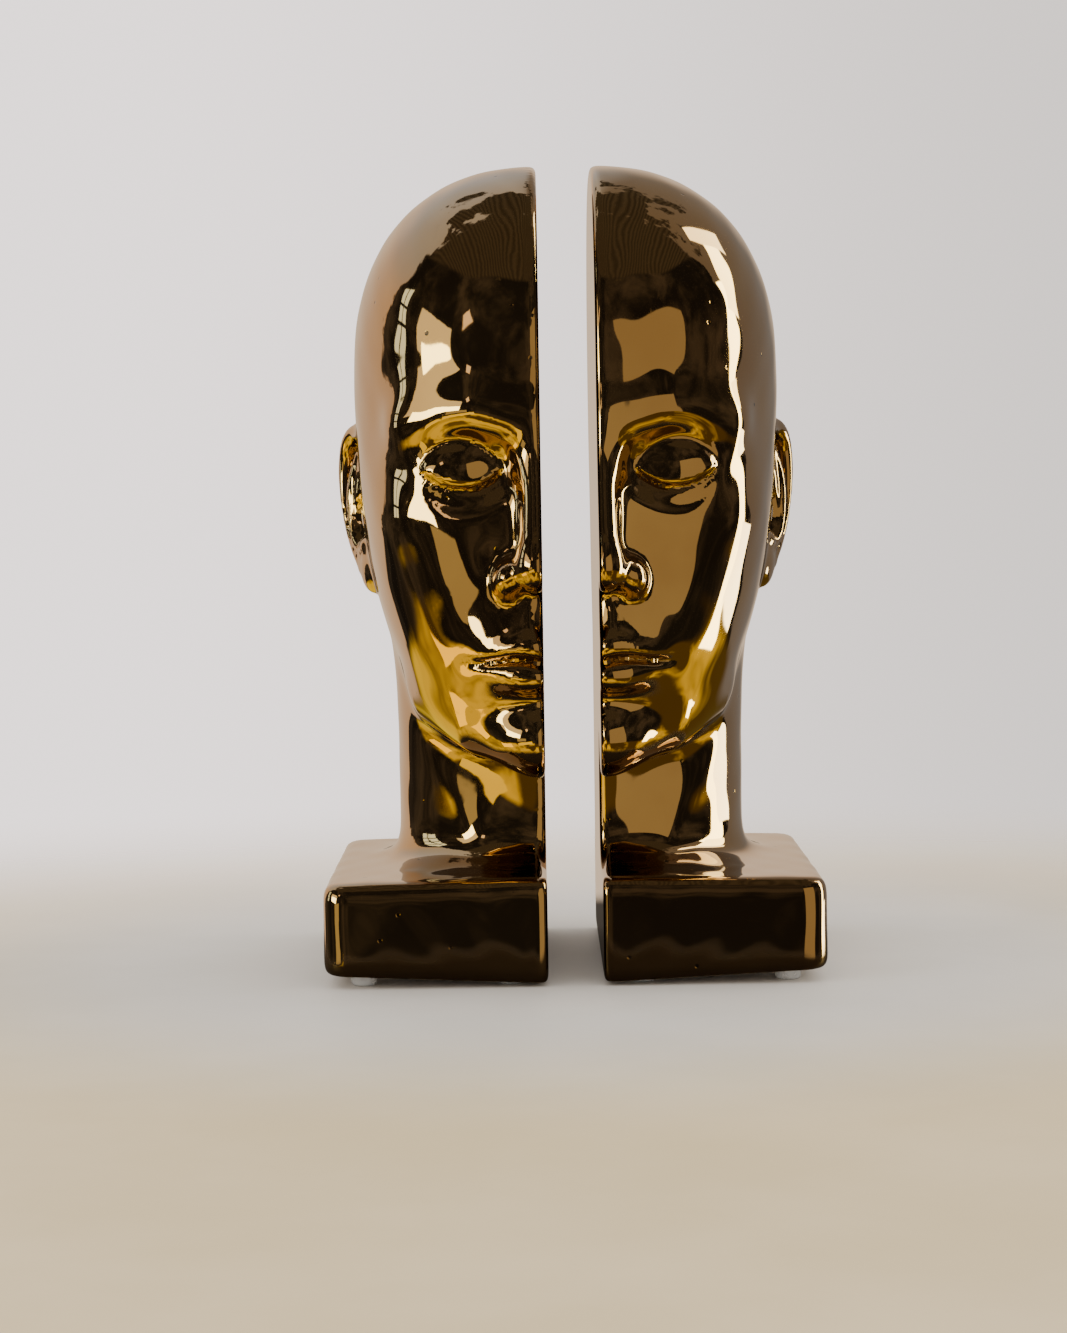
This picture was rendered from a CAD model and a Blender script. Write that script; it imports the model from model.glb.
"""The looks of the book ends: a mirror-bright gold lustre glaze over a slip-cast head, split
down its midline into two halves.

The head is sculpted as a form: a formula that says how far outside the surface any point is.
Masses are joined to it and cut from it with soft edges, and a mesh is then wrapped round it.
Form measures are in millimetres, in one half: X is measured from the half's flat face to its
outer side, the face looks along -Y, and Z is up from the shelf.
"""

import math

import bmesh
import bpy
import numpy as np
from mathutils import Matrix, Vector


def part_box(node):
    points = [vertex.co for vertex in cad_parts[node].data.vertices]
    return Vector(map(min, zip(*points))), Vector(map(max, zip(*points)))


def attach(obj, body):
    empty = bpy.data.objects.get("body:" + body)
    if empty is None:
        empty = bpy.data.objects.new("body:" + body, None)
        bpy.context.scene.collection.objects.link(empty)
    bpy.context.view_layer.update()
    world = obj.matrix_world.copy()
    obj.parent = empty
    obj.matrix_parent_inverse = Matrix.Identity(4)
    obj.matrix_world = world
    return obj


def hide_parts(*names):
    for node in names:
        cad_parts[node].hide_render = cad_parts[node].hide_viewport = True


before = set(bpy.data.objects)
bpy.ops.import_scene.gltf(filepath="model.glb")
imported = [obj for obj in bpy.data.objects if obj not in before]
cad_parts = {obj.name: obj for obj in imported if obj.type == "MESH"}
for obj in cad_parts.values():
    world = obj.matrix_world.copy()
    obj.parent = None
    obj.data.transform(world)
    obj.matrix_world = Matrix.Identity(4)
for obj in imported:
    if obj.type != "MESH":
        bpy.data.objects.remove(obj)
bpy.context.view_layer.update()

MM = 0.001
SIDES = {"left": -1, "right": 1}
CORNERS = ("front_inner", "front_outer", "back_inner", "back_outer")

# ---- Sizes shared with the CAD, in millimetres
HALF_WIDTH = 81.0
PLINTH_REACH = 75.0  # from the middle to the plinth's front and back
CORNER_RADIUS = 9.0  # the plinth's upright edges
PLINTH_TOP = 39.4  # at the flat face
TOP_FALL = 1.3  # how much lower the plinth's top is at its outer side
UNDERSIDE = 1.0  # shelf to the ceramic, at the flat face
UNDERSIDE_RISE = 3.7  # how much higher the underside is at the outer side
WALL = 6.0
HOLE_X = 40.0
HOLE_RADIUS = 12.5
SEAT_RADIUS = 17.0
SEAT_DEPTH = 2.4
FOOT_RADIUS = 5.0
TOUCH = 0.3

# ---- The head's masses: (centre, radii)
CRANIUM = ((0, 8, 222), (70, 84, 78))
FACE = ((0, -14, 152), (62, 61, 80))
SKULL_BASE = ((0, 10, 165), (62, 66, 60))
NECK_RADII = (56, 48)

# ---- How softly the masses run into each other and end, in millimetres
NECK_SWEEP = 18  # from the neck to the plinth
FRONT_SWEEP = 14  # how much wider that sweep is at the front
EAR_BLEND = 5
PLINTH_EDGE = 9
BOTTOM_EDGE = 6
FLAT_FACE_EDGE = 4.5
HOLLOW_EDGE = 10

# ---- Mesh grids, and the boxes they fill as (low, high)
SKIN_GRID = 1.3
HOLLOW_GRID = 5.0
SKIN_BOX = ((-6, -98, -4), (88, 98, 306))
HOLLOW_BOX = ((0, -95, 0), (85, 98, 304))


# ---- Forms


def join(a, b, blend):
    """The union of two forms, with a fillet."""
    near = np.maximum(blend - np.abs(a - b), 0) / blend
    return np.minimum(a, b) - near**3 * blend / 6


def meet(a, b, blend):
    """What two forms have in common, with a rounded edge."""
    return -join(-a, -b, blend)


def cut(a, b, blend):
    """Form a with form b taken away."""
    return meet(a, -b, blend)


def ellipsoid(p, centre, radii, power=2.0, taper=0.0):
    radii = np.array(radii, float)
    scaled = np.abs((p - np.array(centre, float)) / radii) + 1e-9
    if taper:
        upwards = np.clip((p[:, 2] - centre[2]) / radii[2], -1.6, 1.6)
        scaled[:, 0] /= 1 + taper * upwards
    size = (scaled**power).sum(1) ** (1 / power)
    slope = (scaled / size[:, None]) ** (power - 1) / radii
    return (size - 1) / np.sqrt((slope**2).sum(1))


def limb(p, path):
    """A rounded limb along a path of (point, radius)."""
    best = np.full(len(p), np.inf)
    for (start, r_start), (end, r_end) in zip(path, path[1:]):
        start, along = np.array(start, float), np.subtract(end, start).astype(float)
        part = np.clip((p - start) @ along / (along @ along), 0, 1)
        away = p - start - part[:, None] * along
        radius = r_start + (r_end - r_start) * part
        best = np.minimum(best, np.sqrt((away**2).sum(1)) - radius)
    return best


def curved(points, radii, steps=4):
    """A limb's path through the given points, along a smooth curve."""
    points = np.array(points, float)
    ends = 2 * points[0] - points[1], 2 * points[-1] - points[-2]
    points = np.vstack([ends[0], points, ends[1]])
    path = []
    for i in range(len(points) - 3):
        a, b, c, d = points[i : i + 4]
        for t in np.arange(steps) / steps:
            bend = (2 * a - 5 * b + 4 * c - d) * t**2 + (3 * b - a - 3 * c + d) * t**3
            at = (2 * b + (c - a) * t + bend) / 2
            path.append((tuple(at), radii[i] + (radii[i + 1] - radii[i]) * t))
    return path + [(tuple(points[-2]), radii[-1])]


# Marks made in the form: each is 1 where it is strongest, and fades out smoothly


def ridge(distance, width):
    return np.exp(-((distance / width) ** 2))


def dab(p, centre, reach):
    return np.exp(-(((p - np.array(centre, float)) / np.array(reach, float)) ** 2).sum(1))


def span(x, middle, reach, fade):
    """1 within reach of middle, fading out beyond it."""
    return ridge(np.maximum(np.abs(x - middle) - reach, 0), fade)


def step(distance, width):
    return (1 + np.tanh(distance / width)) / 2


def arc(x, middle, reach, z_middle, z_ends):
    """The height of a line that bows across the face."""
    return z_middle + (z_ends - z_middle) * ((x - middle) / reach) ** 2


# ---- The head


def masses(p):
    """Cranium, face, skull base and neck, without features."""
    jaw_slope = 0.36
    jaw_edge = 79 + jaw_slope * (p[:, 1] + 70) - p[:, 2]
    face = ellipsoid(p, *FACE, power=2.4, taper=0.19)
    face = meet(face, jaw_edge / math.hypot(1, jaw_slope), 16)
    form = join(ellipsoid(p, *CRANIUM, power=2.3), face, 22)
    form = join(form, ellipsoid(p, *SKULL_BASE), 24)
    lean = 20 - 0.12 * (p[:, 2] - PLINTH_TOP)
    upright = np.stack([p[:, 0], p[:, 1] - lean, 0 * lean], 1)
    column = ellipsoid(upright, (0, 0, 0), (*NECK_RADII, 1e4))
    form = join(form, meet(column, p[:, 2] - 210, 10), 14)
    jaw = (((0, -57, 91), 15), ((20, -47, 95), 13.5), ((36, -24, 104), 12))
    return join(form, limb(p, jaw), 18)


def muscles(p, form):
    """Temples, the long neck muscles and the hollow of the throat."""
    form = form + 2.2 * dab(p, (68, -44, 205), (16, 20, 20))
    sinew = limb(p, (((50, 30, 138), 0), ((42, -4, 92), 0), ((22, -30, 44), 0)))
    form = form - 1.6 * ridge(sinew, 10)
    return form + 1.6 * dab(p, (0, -40, 46), (9, 12, 9))


def brow(p, form):
    bar = (((4, -66.5, 203), 8.5), ((22, -65, 206.5), 9), ((43, -51, 203), 9))
    form = join(form, limb(p, bar), 18)
    form = cut(form, ellipsoid(p, (30, -76.5, 187.5), (18, 13, 12)), 12)
    return cut(form, ellipsoid(p, (14.5, -79.5, 186.5), (5.5, 9, 9)), 9)


def closed_eye(p, form):
    """A lid over the eyeball, its lash line, the crease over it and the fold under it."""
    x, z = p[:, 0], p[:, 2]
    form = join(form, ellipsoid(p, (28.5, -55.8, 186), (15.5, 13.4, 13)), 9)
    lash = arc(x, 28.5, 14, 179.6, 185.4) + 0.02 * (x - 28.5)
    crease = arc(x, 29, 15, 197, 188)
    across = span(x, 28.5, 12.5, 2.2)
    form = form - 1.3 * step(z - lash, 0.8) * step(crease - 2 - z, 3.5) * across
    form = form + 0.7 * ridge(z - lash + 0.8, 1.3) * across
    form = form + 0.5 * ridge(z - crease, 2.2) * span(x, 29, 12, 3)
    return form + 0.5 * ridge(z - arc(x, 28, 15, 172, 181), 3.2) * span(x, 28, 11, 4)


def cheek(p, form):
    form = form - 2.4 * dab(p, (45, -48, 168), (17, 18, 12))
    form = form + 1.2 * dab(p, (44, -50, 134), (14, 18, 18))
    return form + 0.8 * dab(p, (25, -63, 130), (5, 9, 12))


def nose(p, form):
    bridge = (((0, -67, 204), 6), ((0, -76.5, 180), 6.4), ((0, -82.5, 158), 7.8))
    form = join(form, limb(p, bridge), 12)
    form = join(form, ellipsoid(p, (0, -82, 151), (10, 10.2, 9.5)), 7)
    form = join(form, ellipsoid(p, (12.2, -75, 147.2), (5.8, 9, 7.2)), 7)
    form = form + 0.7 * dab(p, (16.5, -73, 154), (5.5, 8, 5.5))
    form = form + 0.9 * dab(p, (18, -69, 146), (2.4, 6, 8))
    return cut(form, ellipsoid(p, (6.6, -80, 139), (3.1, 5.2, 3.6)), 2.5)


def mouth(p, form):
    x, z = p[:, 0], p[:, 2]
    form = join(form, ellipsoid(p, (0, -56, 121), (29, 23, 24)), 16)
    form = form + 1.3 * ridge(x, 3) * ridge(z - 131, 8)
    form = form - 0.7 * ridge(x - 5, 1.9) * ridge(z - 130, 8)
    upper = [(0, -76, 121.2), (4.5, -76.6, 122.8), (12, -73.6, 121.8), (18.5, -68.6, 119.6)]
    lower = [(0, -74.6, 112), (7, -74, 112), (13.5, -71, 113), (19, -66.6, 115)]
    upper_radii, lower_radii = (4.8, 5.2, 4.4, 3, 1.2), (6.2, 6.2, 5, 3.2, 1.2)
    form = join(form, limb(p, curved([*upper, (24, -62.5, 117.8)], upper_radii, 8)), 5)
    form = join(form, limb(p, curved([*lower, (24, -62, 117)], lower_radii, 8)), 5)
    line = 117.4 - 1.2 * ridge(x, 3.5) + 0.7 * ridge(x - 9, 6) - 0.6 * ridge(x - 22, 5)
    form = form + 2.2 * ridge(z - line, 1.6) * span(x, 0, 20, 5)
    form = form + dab(p, (27, -60, 117), (4, 9, 4.5))
    return form + 1.6 * dab(p, (0, -76, 101.5), (15, 9, 5))


def face(p, form):
    for feature in (brow, closed_eye, cheek, nose, mouth):
        form = feature(p, form)
    return join(form, ellipsoid(p, (0, -61, 89), (17, 15.5, 12.5)), 14)


def ear(p):
    """An ear, shaped in its own axes: up along it, back across it, and out from the head."""
    up = Vector((0.05, 0.16, 0.985)).normalized()
    back = Vector((0.40, 0.90, -0.14))
    back = (back - up * back.dot(up)).normalized()
    q = (p - (67, 11, 171)) @ np.array([up, back, back.cross(up)]).T
    root = ellipsoid(q, (0, -2, -8), (24, 15, 8))
    form = join(ellipsoid(q, (2, 0.5, -2.5), (29, 15, 5)), root, 8)
    rim = [(0, -4.5, 1.2), (8, -11.5, 1.4), (20, -11, 1), (28.5, -4.5, 0.8), (31, 4, 1)]
    rim += [(26.5, 11.5, 1.4), (15, 15, 1.6), (0, 13.8, 1.6), (-12, 9.5, 1), (-21, 4, 0)]
    rim_radii = (1.8, 2.2, 2.6, 3, 3.2, 3.1, 2.8, 2.4, 2.4, 2.6)
    form = join(form, limb(q, curved(rim, rim_radii)), 2.5)
    form = join(form, ellipsoid(q, (-22, -2.5, -0.8), (9.5, 8, 4.2)), 4)
    fold = [(-15, 2, 1.2), (-7, 7.5, 2), (5, 8.8, 2), (14, 6.4, 1.6), (22, 1.5, 0.6)]
    form = join(form, limb(q, curved(fold, (2.2, 2.3, 2.3, 2.2, 1.6))), 3)
    form = cut(form, ellipsoid(q, (-2.5, -1.8, 4.5), (11.5, 7.2, 7.5)), 3)
    form = cut(form, ellipsoid(q, (10, -3.5, 4.2), (7, 5.5, 4.8)), 3)
    groove = [(24.5, 5, 2.6), (14, 10.6, 3), (2, 11.4, 3.2), (-8, 8.8, 3.2)]
    form = cut(form, limb(q, curved(groove, (1.5, 1.7, 1.5, 1))), 2)
    form = join(form, ellipsoid(q, (-4.5, -10.5, 1), (5, 3, 4)), 3)
    return join(form, ellipsoid(q, (-13.5, -2.5, 0.8), (3.2, 4, 3.2)), 3)


def casting_waves(p):
    """The slight unevenness of a slip-cast skin, up to about 0.15 mm."""
    lengths = ((31, 47, 39), (-53, 29, 41), (23, -37, 61), (19, 27, -24))
    starts = (0.3, 1.7, 4.1, 2.2)
    waves = [np.sin(p @ (math.tau / np.array(a)) + b) for a, b in zip(lengths, starts)]
    return 0.035 * np.sum(waves, 0)


def head(p):
    """The whole head. Face and ear are worked out only in the boxes that hold them."""
    p = np.column_stack([np.abs(p[:, 0]), p[:, 1:]])
    form = muscles(p, masses(p))
    x, y, z = p.T
    front = (y < -4) & (z > 60) & (z < 234) & (x < 72)
    front = np.flatnonzero(front & (np.abs(form) < 30))
    form[front] = face(p[front], form[front])
    side = np.flatnonzero((x > 48) & (np.abs(y - 12) < 34) & (np.abs(z - 171) < 48))
    form[side] = join(form[side], ear(p[side]), EAR_BLEND)
    return form


def underside(x):
    """Height of the plinth's underside, x away from the flat face."""
    return UNDERSIDE + UNDERSIDE_RISE * x / HALF_WIDTH


def plinth(p):
    """The plinth from its sloping top down, with wide round corners and softer upper edges."""
    beyond = np.abs(p[:, :2]) - (np.array([HALF_WIDTH, PLINTH_REACH]) - CORNER_RADIUS)
    sides = np.sqrt((np.maximum(beyond, 0) ** 2).sum(1)) + np.minimum(beyond.max(1), 0)
    fall = TOP_FALL * np.abs(p[:, 0]) / HALF_WIDTH
    return meet(sides - CORNER_RADIUS, p[:, 2] + fall - PLINTH_TOP, PLINTH_EDGE)


def half_skin(p):
    """The outside of one half, with its rounded flat face and foot."""
    x, y, z = p.T
    sweep = NECK_SWEEP + FRONT_SWEEP * step(-20 - y, 12)
    form = join(head(p), plinth(p), sweep)
    form = meet(form, underside(x) - z, BOTTOM_EDGE)
    away_from_edges = step(x - 6, 3) * step(z - 8, 3)
    return meet(form, -x, FLAT_FACE_EDGE) + casting_waves(p) * away_from_edges


def half_hollow(p):
    """The room inside one half, WALL inside its skin."""
    plain = join(masses(p), plinth(p), NECK_SWEEP)
    room = np.maximum(plain, head(p)) + WALL
    room = meet(room, underside(p[:, 0]) + WALL - p[:, 2], HOLLOW_EDGE)
    return meet(room, WALL - p[:, 0], HOLLOW_EDGE)


# ---- From a form to a mesh


def lattice_of(form, low, high, grid, coarse=4):
    """The form on a lattice, worked out exactly only near its surface."""
    low = np.array(low, float)
    cells = np.ceil((np.array(high) - low) / (grid * coarse)).astype(int)
    axes = [low[i] + grid * coarse * np.arange(cells[i] + 1) for i in range(3)]
    points = np.stack(np.meshgrid(*axes, indexing="ij"), -1).reshape(-1, 3)
    rough = form(points).reshape(cells + 1)
    near = np.abs(rough) < 2.2 * grid * coarse
    corners = list(np.ndindex(2, 2, 2))
    spans = [tuple(slice(c, c + n) for c, n in zip(corner, cells)) for corner in corners]
    busy = np.any([near[s] for s in spans], 0)
    values = np.where(rough < 0, -1.0, 1.0)
    for axis in range(3):
        values = np.repeat(values, coarse, axis)
        busy = np.repeat(busy, coarse, axis)
    values = values[tuple(slice(0, n * coarse + 1) for n in cells)]
    exact = np.zeros(values.shape, bool)
    exact[:-1, :-1, :-1] = busy
    for axis in range(3):
        exact |= np.roll(exact, 1, axis)
    where = np.argwhere(exact)
    values[tuple(where.T)] = form(low + grid * where)
    return values, low


def skin(values, low, grid):
    """Corner points and four-sided faces that wrap a form, one point per lattice cell."""
    inside = values < 0
    counts = np.array(values.shape)
    corners = np.array(list(np.ndindex(2, 2, 2)))
    spans = [tuple(slice(c, c + n - 1) for c, n in zip(corner, counts)) for corner in corners]
    filled = np.sum([inside[s] for s in spans], 0)
    crossed = (filled > 0) & (filled < 8)
    number = np.full(crossed.shape, -1)
    number[crossed] = np.arange(crossed.sum())
    points = low + grid * (np.argwhere(crossed) + 0.5)
    faces = []
    for axis in range(3):
        one, other = np.eye(3, dtype=int)[[(axis + 1) % 3, (axis + 2) % 3]]
        here = inside.take(range(counts[axis] - 1), axis)
        onward = inside.take(range(1, counts[axis]), axis)
        at = np.argwhere(here != onward)
        around = [at, at - one, at - one - other, at - other]
        face = np.stack([number[tuple(cell.T)] for cell in around], 1)
        entering = ~here[tuple(at.T)]
        face[entering] = face[entering][:, ::-1]
        faces.append(face)
    return points, np.vstack(faces)


def slope_of(form, points, reach=0.05):
    tips = np.array([(1, -1, -1), (-1, -1, 1), (-1, 1, -1), (1, 1, 1)], float)
    return sum(form(points + reach * tip)[:, None] * tip for tip in tips) / (4 * reach)


def settle(form, points, faces, rounds=5):
    """Draws the points onto the form, and evens out the faces along it."""
    edges = np.vstack([faces[:, [i, (i + 1) % 4]] for i in range(4)])
    edges = np.vstack([edges, edges[:, ::-1]])
    degree = np.bincount(edges[:, 0], minlength=len(points))[:, None]
    for turn in range(rounds):
        slope = slope_of(form, points)
        steep = np.maximum((slope**2).sum(1), 0.1)
        points = points - np.clip(form(points) / steep, -2, 2)[:, None] * slope
        if turn < rounds - 2:
            total = [np.bincount(edges[:, 0], points[edges[:, 1], i]) for i in range(3)]
            drift = 0.5 * (np.stack(total, 1) / degree - points)
            normal = slope / np.sqrt(steep)[:, None]
            points = points + drift - normal * (drift * normal).sum(1)[:, None]
    return points


def wrapped(form, low, high, grid):
    values, low = lattice_of(form, low, high, grid)
    points, faces = skin(values, low, grid)
    return settle(form, points, faces), faces


def new_mesh(name, points, faces):
    mesh = bpy.data.meshes.new(name)
    mesh.from_pydata(points * MM, [], faces.tolist())
    mesh.update()
    return mesh


def mesh_from(bm, name):
    mesh = bpy.data.meshes.new(name)
    bm.to_mesh(mesh)
    bm.free()
    return mesh


def link(name, data):
    """A new object in the scene, holding a mesh, a lamp or a camera."""
    obj = bpy.data.objects.new(name, data)
    bpy.context.scene.collection.objects.link(obj)
    return obj


def true_normals(mesh, form):
    """Shades a mesh as the form it wraps, and its other faces flat where they meet an edge."""
    points = np.empty(len(mesh.vertices) * 3)
    mesh.vertices.foreach_get("co", points)
    points = points.reshape(-1, 3) / MM
    slope = slope_of(form, points)
    smooth = slope / np.sqrt((slope**2).sum(1))[:, None]
    on_skin = np.abs(form(points)) < 0.05
    corner = np.empty(len(mesh.loops), np.int32)
    mesh.loops.foreach_get("vertex_index", corner)
    sides = np.empty(len(mesh.polygons), np.int32)
    mesh.polygons.foreach_get("loop_total", sides)
    flat = np.empty(len(mesh.polygons) * 3)
    mesh.polygons.foreach_get("normal", flat)
    flat = np.repeat(flat.reshape(-1, 3), sides, 0)
    follows = on_skin[corner] & ((smooth[corner] * flat).sum(1) > 0.7)
    mesh.shade_smooth()
    mesh.normals_split_custom_set(np.where(follows[:, None], smooth[corner], flat))


# ---- Materials


class Nodes:
    """Short calls for building the node tree of a material or a world."""

    def __init__(self, name, library=bpy.data.materials):
        self.owner = library.new(name)
        self.owner.use_nodes = True
        self.tree = self.owner.node_tree
        self.shader = self.tree.nodes.get("Principled BSDF")

    def add(self, kind, **settings):
        node = self.tree.nodes.new(f"ShaderNode{kind}")
        for key, value in settings.items():
            if key in node.inputs:
                self.plug(value, node.inputs[key])
            else:
                setattr(node, key, value)
        return node

    def plug(self, value, socket):
        if isinstance(value, bpy.types.NodeSocket):
            self.tree.links.new(value, socket)
        else:
            socket.default_value = value

    def finish(self, **values):
        for key, value in values.items():
            self.plug(value, self.shader.inputs[key.replace("_", " ")])
        return self.owner

    def place(self):
        """The point on the piece, in metres from the frame's origin."""
        return self.add("TexCoord").outputs["Object"]

    def noise(self, scale, detail, roughness=0.5, vector=None):
        made = self.add("TexNoise", Scale=scale, Detail=detail, Roughness=roughness)
        self.plug(vector or self.place(), made.inputs["Vector"])
        return made.outputs["Fac"]

    def band(self, value, low, high, to_low=0.0, to_high=1.0):
        """value between low and high, stretched to the new range and kept inside it."""
        made = self.add("MapRange", interpolation_type="SMOOTHSTEP")
        for key, number in zip(("Value", "From Min", "From Max", "To Min", "To Max"),
                               (value, low, high, to_low, to_high)):
            self.plug(number, made.inputs[key])
        return made.outputs["Result"]

    def sum(self, a, b, how="ADD"):
        made = self.add("Math", operation=how)
        self.plug(a, made.inputs[0])
        self.plug(b, made.inputs[1])
        return made.outputs[0]

    def length(self, vector):
        made = self.add("VectorMath", operation="LENGTH")
        self.plug(vector, made.inputs[0])
        return made.outputs["Value"]

    def blend(self, amount, a, b):
        made = self.add("Mix", data_type="RGBA")
        self.plug(amount, made.inputs[0])
        self.plug(a, made.inputs[6])
        self.plug(b, made.inputs[7])
        return made.outputs[2]

    def bump(self, height, distance, under=None):
        made = self.add("Bump", Height=height, Distance=distance, Strength=1.0)
        if under:
            self.plug(under, made.inputs["Normal"])
        return made.outputs["Normal"]


def lustre_glaze():
    """Gold lustre: a mirror film over brown glaze, thinner and redder in places, with fine
    scratches, pin-holes and a faint orange peel. The dry foot underneath is bare clay."""
    n = Nodes("gold_luster_glaze")
    thickness = n.band(n.noise(14, 4, 0.55), 0.35, 0.68)
    gold, copper = (0.62, 0.385, 0.155, 1), (0.52, 0.30, 0.115, 1)
    colour = n.blend(thickness, gold, copper)
    runs = n.add("Mapping", Vector=n.place(), Scale=(90, 90, 9))
    streaks = n.noise(1.0, 3, 0.6, runs.outputs[0])
    colour = n.blend(n.band(streaks, 0.6, 0.8, 0, 0.25), colour, (0.42, 0.23, 0.085, 1))
    pits = n.add("TexVoronoi", Scale=75.0, feature="F1", Vector=n.place()).outputs["Distance"]
    pit = n.band(pits, 0.035, 0.075, 1, 0)
    colour = n.blend(pit, colour, (0.10, 0.06, 0.035, 1))
    wear = n.add("Mapping", Vector=n.place(), Scale=(900, 900, 25), Rotation=(0.5, 0.9, 0.2))
    hairs = n.band(n.noise(1.0, 2, 0.5, wear.outputs[0]), 0.66, 0.72)
    patch = n.band(n.noise(22, 2), 0.55, 0.7)
    scratch = n.sum(hairs, patch, "MULTIPLY")
    smear = n.band(n.noise(38, 5, 0.65), 0.4, 0.75, 0.0, 0.035)
    rough = n.sum(n.sum(0.028, smear), n.sum(scratch, 0.10, "MULTIPLY"))
    peel = n.bump(n.noise(120, 2, 0.4), 0.000022)
    roll = n.bump(n.noise(26, 1, 0.3), 0.00006, peel)
    dents = n.bump(n.sum(pit, -1.0, "MULTIPLY"), 0.00012, roll)

    facing = n.add("SeparateXYZ", Vector=n.add("NewGeometry").outputs["Normal"]).outputs["Z"]
    height = n.add("SeparateXYZ", Vector=n.place()).outputs["Z"]
    down = n.band(facing, -0.98, -0.9, 1, 0)
    bare = n.sum(down, n.band(height, 0.0050, 0.0055, 1, 0), "MULTIPLY")
    clay = n.blend(n.noise(160, 4), (0.60, 0.50, 0.39, 1), (0.44, 0.35, 0.26, 1))
    colour = n.blend(bare, colour, clay)
    return n.finish(
        Base_Color=colour,
        Metallic=n.sum(1.0, bare, "SUBTRACT"),
        Roughness=n.sum(rough, n.sum(bare, 0.7, "MULTIPLY")),
        Normal=dents,
        Coat_Weight=0.9,
        Coat_Roughness=0.03,
        Coat_IOR=1.7,
    )


def bung_rubber():
    """Black moulded rubber with a dusty bloom."""
    n = Nodes("bung_rubber")
    bloom = n.band(n.noise(90, 5, 0.6), 0.4, 0.75)
    colour = n.blend(bloom, (0.018, 0.017, 0.016, 1), (0.07, 0.066, 0.06, 1))
    grain = n.bump(n.noise(1800, 2), 0.00004)
    return n.finish(Base_Color=colour, Roughness=n.band(bloom, 0, 1, 0.62, 0.85), Normal=grain)


def silica_sand():
    """Dry sand in grains of about half a millimetre."""
    n = Nodes("silica_sand")
    grains = n.add("TexVoronoi", Scale=1900.0, Vector=n.place())
    tint = n.add("SeparateColor", Color=grains.outputs["Color"]).outputs[0]
    colour = n.blend(tint, (0.70, 0.57, 0.38, 1), (0.45, 0.34, 0.20, 1))
    colour = n.blend(n.band(tint, 0.93, 0.97), colour, (0.12, 0.10, 0.09, 1))
    heaps = n.bump(n.noise(60, 3), 0.0010)
    surface = n.bump(grains.outputs["Distance"], 0.0004, heaps)
    return n.finish(Base_Color=colour, Roughness=0.9, Normal=surface)


def bumper_polyurethane():
    """Whitish, slightly translucent stick-on bumpers with a little shelf dust."""
    n = Nodes("bumper_polyurethane")
    dust = n.band(n.noise(300, 5, 0.6), 0.45, 0.8)
    colour = n.blend(dust, (0.86, 0.86, 0.83, 1), (0.62, 0.59, 0.53, 1))
    rough = n.band(dust, 0, 1, 0.22, 0.55)
    return n.finish(Base_Color=colour, Roughness=rough, Normal=n.bump(n.noise(700, 2), 0.00003),
                    Transmission_Weight=0.35, IOR=1.5)


# ---- Pieces


def turned(name, outline, steps=96):
    """A solid turned round the Z axis, from (radius, height) points."""
    bm = bmesh.new()
    points = [bm.verts.new((radius * MM, 0, height * MM)) for radius, height in outline]
    edges = [bm.edges.new(pair) for pair in zip(points, points[1:])]
    bmesh.ops.spin(
        bm, geom=points + edges, cent=(0, 0, 0), axis=(0, 0, 1), angle=math.tau, steps=steps
    )
    bmesh.ops.remove_doubles(bm, verts=bm.verts, dist=1e-6)
    bmesh.ops.recalc_face_normals(bm, faces=bm.faces)
    return mesh_from(bm, name)


def in_pour_hole(mesh):
    """Puts a turned solid, whose heights are over the underside, on the pour hole's axis."""
    slope = math.atan(UNDERSIDE_RISE / HALF_WIDTH)
    middle = Vector((HOLE_X, 0, underside(HOLE_X))) * MM
    mesh.transform(Matrix.Translation(middle) @ Matrix.Rotation(-slope, 4, "Y"))
    return mesh


def pour_hole():
    """The hole through the base: a seat for the bung's flange, with a softened mouth."""
    mouth = [(0, -7), (SEAT_RADIUS + 6, -7), (SEAT_RADIUS + 0.6, -0.1), (SEAT_RADIUS, 0.6)]
    seat = [(SEAT_RADIUS, SEAT_DEPTH), (HOLE_RADIUS, SEAT_DEPTH)]
    return turned("pour_hole", [*mouth, *seat, (HOLE_RADIUS, WALL + 5), (0, WALL + 5)])


def half_shell_mesh():
    """One half as a hollow casting, at the flat face's own place."""
    outer = wrapped(half_skin, *SKIN_BOX, SKIN_GRID)
    inner = wrapped(half_hollow, *HOLLOW_BOX, HOLLOW_GRID)
    shell = link("half_shell", new_mesh("half_shell", *outer))
    cutters = [link("hollow", new_mesh("hollow", *inner))]
    cutters.append(link("pour_hole", in_pour_hole(pour_hole())))
    for other in cutters:
        carve = shell.modifiers.new(other.name, "BOOLEAN")
        carve.operation = "DIFFERENCE"
        carve.solver = "EXACT"
        carve.object = other
    graph = bpy.context.evaluated_depsgraph_get()
    mesh = bpy.data.meshes.new_from_object(shell.evaluated_get(graph))
    for helper in [shell, *cutters]:
        bpy.data.objects.remove(helper)
    return mesh


def on_side(mesh, name, side, flat_face_x):
    """A copy of a right-hand mesh, mirrored for the left, moved out to its flat face."""
    copy = mesh.copy()
    copy.name = name
    copy.transform(Matrix.Diagonal((side, 1, 1, 1)))
    if side < 0:
        copy.flip_normals()
    copy.transform(Matrix.Translation((flat_face_x, 0, 0)))
    return link(name, copy)


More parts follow.
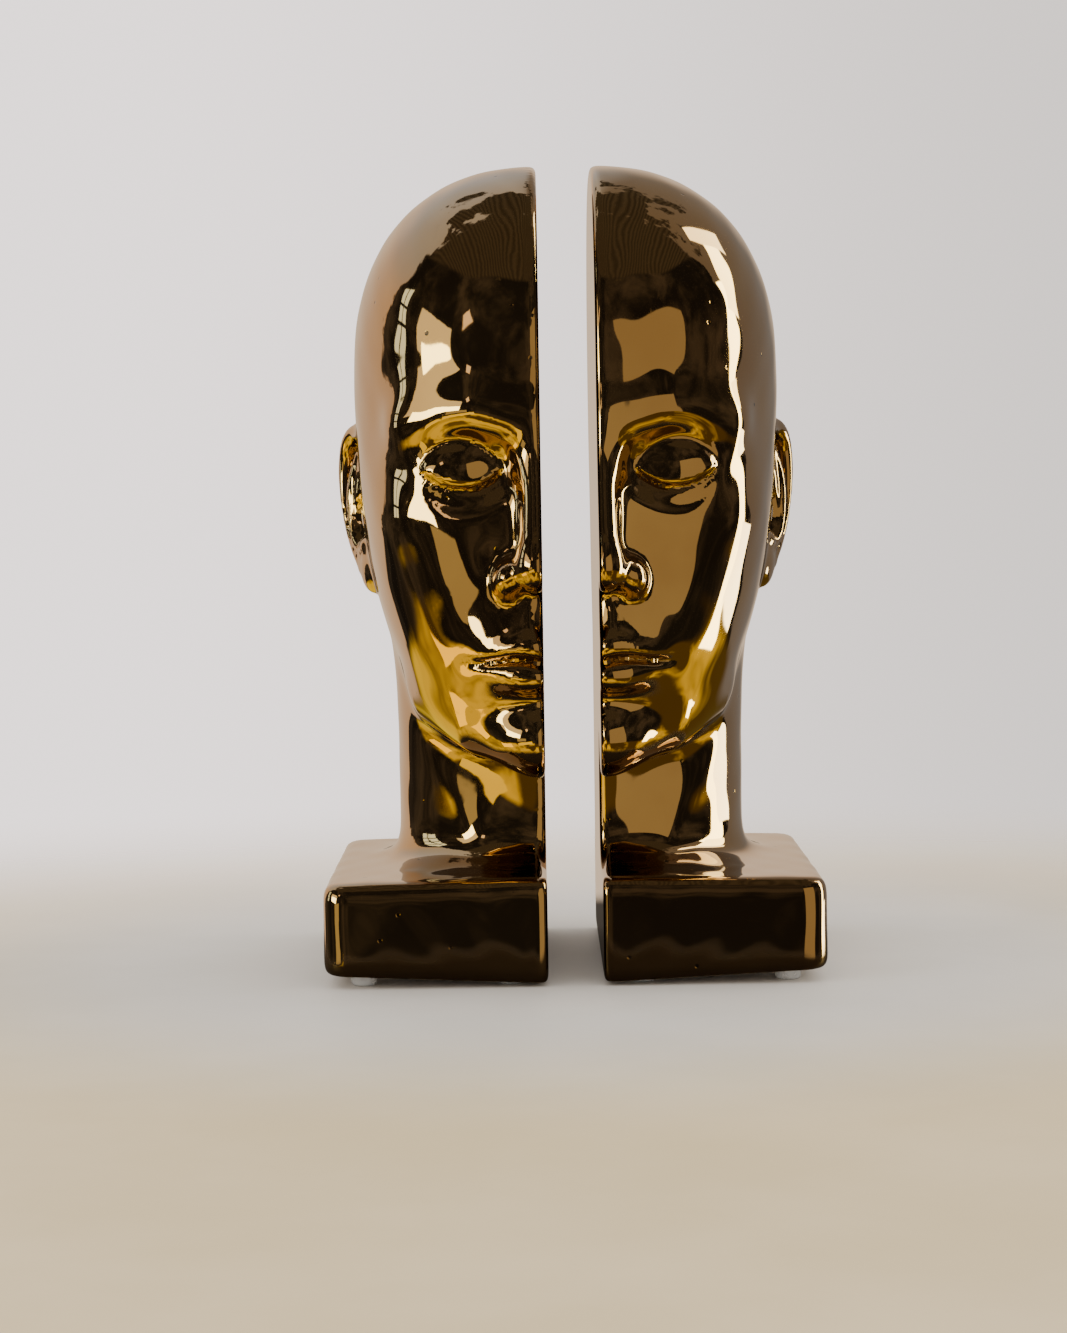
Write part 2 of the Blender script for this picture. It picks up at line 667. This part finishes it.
def fine_bung():
    """The rubber bung: a dished and ribbed flange below, and the neck and lip inside."""
    flange, flange_top = SEAT_RADIUS - TOUCH, SEAT_DEPTH - TOUCH
    waist, lip = HOLE_RADIUS - TOUCH, WALL + TOUCH
    dish = [(0, 3.3), (4.6, 3.3), (5.3, 2.9), (6.6, 0.6), (7.1, TOUCH)]
    rib = [(11.6, TOUCH), (11.9, 0.65), (12.5, 0.65), (12.8, TOUCH)]
    rim = [(flange - 0.8, TOUCH), (flange - 0.2, 0.55), (flange, 1.1), (flange, flange_top)]
    plug = [(waist, flange_top), (waist, lip), (waist + 1.8, lip), (waist + 1.8, lip + 1.4)]
    return turned("bung", dish + rib + rim + plug + [(waist - 1.8, lip + 5), (0, lip + 5)])


def fine_foot(x, y):
    """A bumper at x, y: a disc whose side rounds over below, and as high as the underside is
    there."""
    curl = 0.45 * underside(x)
    outline = [(0, 0), (FOOT_RADIUS - 1.4, 0)]
    for turn in np.linspace(0, math.pi / 2, 7)[1:]:
        out, up = 1.2 * math.sin(turn), curl * (1 - math.cos(turn))
        outline.append((FOOT_RADIUS - 1.4 + out, up))
    top = underside(x) - TOUCH
    mesh = turned("foot", [*outline, (FOOT_RADIUS, top), (0, top)], 48)
    mesh.transform(Matrix.Translation((x * MM, y * MM, 0)))
    for vert in mesh.vertices:
        if vert.co.z > (top - 0.01) * MM:
            vert.co.z = (underside(vert.co.x / MM) - TOUCH) * MM
    return mesh


def shaded(obj, material, slot, body, *nodes, crease=35):
    """Finishes a piece: its material, its record slot, its body and the nodes it stands for."""
    obj.data.materials.clear()
    obj.data.materials.append(material)
    if crease:
        obj.data.shade_smooth()
        obj.data.set_sharp_from_angle(angle=math.radians(crease))
    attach(obj, body)
    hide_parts(*nodes)


def build_object():
    glaze, rubber = lustre_glaze(), bung_rubber()
    sand, bumper = silica_sand(), bumper_polyurethane()
    half = half_shell_mesh()
    true_normals(half, half_skin)
    bung = in_pour_hole(fine_bung())
    for name, side in SIDES.items():
        body = f"{name}_bookend"
        low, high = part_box(f"{name}_shell")
        flat_face_x = low[0] if side > 0 else high[0]
        shell = on_side(half, f"{name}_glazed_half", side, flat_face_x)
        shaded(shell, glaze, "gold_luster_glaze", body, f"{name}_shell", crease=None)
        plug = on_side(bung, f"{name}_rubber_bung", side, flat_face_x)
        shaded(plug, rubber, "bung_rubber", body, f"{name}_bung")
        for corner in CORNERS:
            node = f"{name}_foot_{corner}"
            middle = (Vector(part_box(node)[0]) + Vector(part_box(node)[1])) / 2
            foot = fine_foot(side * (middle.x - flat_face_x) / MM, middle.y / MM)
            foot = on_side(foot, f"{name}_bumper_{corner}", side, flat_face_x)
            shaded(foot, bumper, "bumper_polyurethane", body, node)
        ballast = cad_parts[f"{name}_sand_ballast"]
        ballast.data.materials.clear()
        ballast.data.materials.append(sand)


# ---- The studio

CAMERA_PLACE = (-0.0137, -1.192, 0.182)  # metres
CAMERA_PITCH, CAMERA_ROLL = 3.4, -0.9  # degrees
CAMERA_LENS = 84.7  # millimetres


def fading_floor():
    """A floor that is pale under the object and golden farther out, and that fades into the
    backdrop so that no horizon shows. Distances are in metres."""
    pale_out_to, golden_from = 0.14, 0.34
    fade_centre, fade_from, fade_to = 0.4, 0.45, 1.0
    mirrored_out_to, mirrored_end = 0.14, 0.19
    bm = bmesh.new()
    bmesh.ops.create_circle(bm, cap_ends=True, segments=128, radius=2.6)
    mesh = mesh_from(bm, "floor")
    floor = link("studio_floor", mesh)
    n = Nodes("studio_floor")
    grain = n.noise(7, 5, 0.6)
    mottle = n.band(grain, 0.3, 0.7)
    colour = n.blend(mottle, (0.70, 0.66, 0.60, 1), (0.76, 0.72, 0.66, 1))
    warm = n.blend(mottle, (0.74, 0.585, 0.33, 1), (0.80, 0.645, 0.39, 1))
    away = n.length(n.place())
    colour = n.blend(n.band(away, pale_out_to, golden_from), colour, warm)
    forward = n.add("Mapping", Vector=n.place(), Location=(0, fade_centre, 0))
    fade = n.band(n.length(forward.outputs[0]), fade_from, fade_to, 1, 0)
    # The glaze mirrors only what lies close under it: beyond that it shows the painted room.
    mirrored = n.add("LightPath").outputs["Is Glossy Ray"]
    near = n.sum(n.band(away, mirrored_out_to, mirrored_end, 1, 0), mirrored, "MULTIPLY")
    alpha = n.sum(n.sum(fade, n.sum(1, mirrored, "SUBTRACT"), "MULTIPLY"), near)
    colour = n.blend(mirrored, colour, (0.020, 0.014, 0.008, 1))
    n.finish(Base_Color=colour, Roughness=0.55, Alpha=alpha)
    mesh.materials.append(n.owner)


class Room(Nodes):
    """The surroundings, painted on the world by direction: azimuth is 0 along -Y, which the
    face looks along, and 90 along +X. Elevation is above the horizon. Both are in degrees."""

    def __init__(self):
        super().__init__("studio", bpy.data.worlds)
        self.tree.nodes.clear()
        self.where = self.add("TexCoord").outputs["Generated"]
        axes = self.add("SeparateXYZ", Vector=self.where).outputs
        self.x, self.y, self.z = (axes[i] for i in range(3))
        level = self.sum(1, self.sum(self.z, self.z, "MULTIPLY"), "SUBTRACT")
        self.flat = self.sum(level, 0.5, "POWER")

    def dot(self, axis):
        made = self.add("VectorMath", operation="DOT_PRODUCT")
        self.plug(self.where, made.inputs[0])
        self.plug(tuple(axis), made.inputs[1])
        return made.outputs["Value"]

    def panel(self, azimuth, elevation, width, height, lean, panes=(1, 1)):
        """1 inside a flat rectangle that stands across a direction, with bars between panes.
        Its width and height are degrees across, and lean turns it in its plane."""
        turn, rise = math.radians(azimuth), math.radians(elevation)
        level = math.cos(rise)
        ahead = Vector((math.sin(turn) * level, -math.cos(turn) * level, math.sin(rise)))
        right = ahead.cross((0, 0, 1)).normalized()
        up = right.cross(ahead)
        roll = Matrix.Rotation(math.radians(lean), 3, ahead)
        depth = self.dot(ahead)
        inside = self.band(depth, 0.05, 0.06)
        for axis, size, count in ((right, width, panes[0]), (up, height, panes[1])):
            across = self.sum(self.dot(roll @ axis), self.sum(depth, 0.05, "MAXIMUM"), "DIVIDE")
            reach = math.tan(math.radians(size / 2))
            edge = self.band(self.sum(across, 0, "ABSOLUTE"), reach - 0.012, reach, 1, 0)
            inside = self.sum(inside, edge, "MULTIPLY")
            if count > 1:
                place = self.sum(across, count / (2 * reach), "MULTIPLY")
                place = self.sum(place, count / 2)
                off = self.sum(self.sum(place, 0, "FRACT"), 0.5, "SUBTRACT")
                off = self.sum(off, 0, "ABSOLUTE")
                inside = self.sum(inside, self.band(off, 0.38, 0.44, 1, 0), "MULTIPLY")
        return inside


def dark_room(n):
    """Cluttered shadows in front of the object, and the pale wall behind it."""
    clutter = n.noise(3.2, 5, 0.6, n.where)
    clutter = n.band(clutter, 0.42, 0.72)
    room = n.blend(clutter, (0.016, 0.015, 0.014, 1), (0.085, 0.072, 0.055, 1))
    sidelong = n.sum(n.x, n.flat, "DIVIDE")
    low, high = n.band(sidelong, 0.05, 0.45), n.band(sidelong, -0.15, 0.2)
    low = n.blend(low, (0.82, 0.61, 0.42, 1), (0.22, 0.20, 0.18, 1))
    high = n.blend(high, (0.56, 0.57, 0.58, 1), (0.23, 0.20, 0.165, 1))
    wall = n.blend(n.band(n.z, 0.25, 0.6), low, high)
    ragged = n.band(n.noise(5.0, 4, 0.6, n.where), 0.3, 0.7, -0.05, 0.05)
    reach = n.sum(n.sum(n.y, n.sum(n.z, 0.62, "MULTIPLY")), n.sum(n.x, 0.11, "MULTIPLY"))
    behind = n.band(n.sum(reach, ragged), 0.49, 0.52)
    return n.blend(behind, room, wall), behind


# The lit panels: (azimuth, elevation, width, height, lean, panes) and colour
LIT_PANELS = (
    ((33, 1, 46, 42, 5), (0.46, 0.37, 0.19)),  # the lit wall in front, on the right
    ((103, 3, 11, 46, 0), (13, 13, 7.5)),  # the tall window on the right
    ((112, 27, 13, 30, -26), (9, 8.6, 5.0)),
    ((120, 40, 24, 8, -50), (5, 4.6, 3.0)),
    ((113, -11, 16, 9, 0), (9, 9, 6.5)),
    ((-100, 12, 10, 28, 0, (2, 4)), (1.5, 1.75, 1.5)),  # the paned window on the left
    ((-67, 12, 32, 14, -8), (1.3, 1.15, 0.7)),  # the bright window beside it
    ((-66, 4, 26, 11, -8), (9, 9, 5)),
    ((-40, 19, 6, 7, 30), (1.6, 1.25, 0.8)),
    ((-50, -7, 20, 8, 0), (0.6, 0.5, 0.22)),
    ((-42, -17, 34, 9, 8), (1.6, 1.2, 0.08)),  # the sunlit parts of the table
    ((-88, -22, 24, 9, 0), (3.0, 2.0, 0.0)),
)


def room_reflections(n):
    """What the mirror-like glaze shows."""
    seen, behind = dark_room(n)
    planks = n.add("TexWave", wave_type="BANDS", Scale=11.0, Distortion=1.5, Vector=n.where)
    ceiling = n.blend(planks.outputs["Fac"], (0.045, 0.038, 0.026, 1), (0.085, 0.072, 0.05, 1))
    before = n.sum(n.band(n.z, 0.66, 0.70), n.sum(1, behind, "SUBTRACT"), "MULTIPLY")
    overhead = n.band(n.sum(n.z, n.noise(5.0, 4, 0.6, n.where)), 1.31, 1.36)
    seen = n.blend(n.sum(before, overhead, "MAXIMUM"), seen, ceiling)
    shade = n.sum(n.noise(2.0, 3, 0.5, n.where), n.sum(n.x, 0.08, "MULTIPLY"), "SUBTRACT")
    table = n.blend(n.band(shade, 0.42, 0.6), (0.11, 0.072, 0.014, 1), (1.2, 0.87, 0.04, 1))
    seen = n.blend(n.band(n.z, -0.30, -0.24, 1, 0), seen, table)
    for place, colour in LIT_PANELS:
        seen = n.blend(n.panel(*place), seen, (*colour, 1))
    return seen


def surroundings():
    """A pale backdrop for the camera, soft even light for matt surfaces, and the painted room
    for the glaze."""
    n = Room()
    path = n.add("LightPath").outputs
    backdrop = n.blend(n.band(n.x, -0.15, 0.2), (2.05, 1.85, 1.82, 1), (1.22, 1.12, 1.06, 1))
    again = n.band(path["Ray Depth"], 2.4, 3.6)
    room = n.blend(again, room_reflections(n), (0.06, 0.052, 0.04, 1))
    soft = n.blend(path["Is Glossy Ray"], (1.5, 1.45, 1.4, 1), room)
    colour = n.blend(path["Is Camera Ray"], soft, backdrop)
    shown = n.add("Background", Color=colour)
    n.plug(shown.outputs[0], n.add("OutputWorld").inputs[0])
    bpy.context.scene.world = n.owner


def soft_lamp(name, direction, distance, size, strength):
    """A large lamp that shapes the shadows and shows in no reflection."""
    light = bpy.data.lights.new(name, "AREA")
    light.size = size
    light.color = (1.0, 0.97, 0.93)
    light.energy = strength * size**2 * math.pi
    obj = link(name, light)
    aim = Vector((0, 0, 0.1))
    obj.location = aim + Vector(direction).normalized() * distance
    obj.rotation_euler = (aim - obj.location).to_track_quat("-Z", "Y").to_euler()
    obj.visible_camera = False
    obj.visible_glossy = False


def light_studio():
    soft_lamp("window_right", (0.8, 0.2, 0.5), 2.6, 1.2, 1.6)
    soft_lamp("window_left", (-0.7, -0.4, 0.6), 2.8, 1.0, 1.0)


def camera():
    """The viewpoint: almost level, a little above the eyes, straight at the face."""
    lens = bpy.data.cameras.new("camera")
    lens.lens = CAMERA_LENS
    lens.sensor_fit = "VERTICAL"
    lens.sensor_height = 36.0
    obj = link("camera", lens)
    pitch, roll = math.radians(CAMERA_PITCH), math.radians(CAMERA_ROLL)
    obj.matrix_world = (
        Matrix.Translation(CAMERA_PLACE)
        @ Matrix.Rotation(math.pi / 2 - pitch, 4, "X")
        @ Matrix.Rotation(roll, 4, "Z")
    )
    bpy.context.scene.camera = obj


build_object()
fading_floor()
surroundings()
light_studio()
camera()
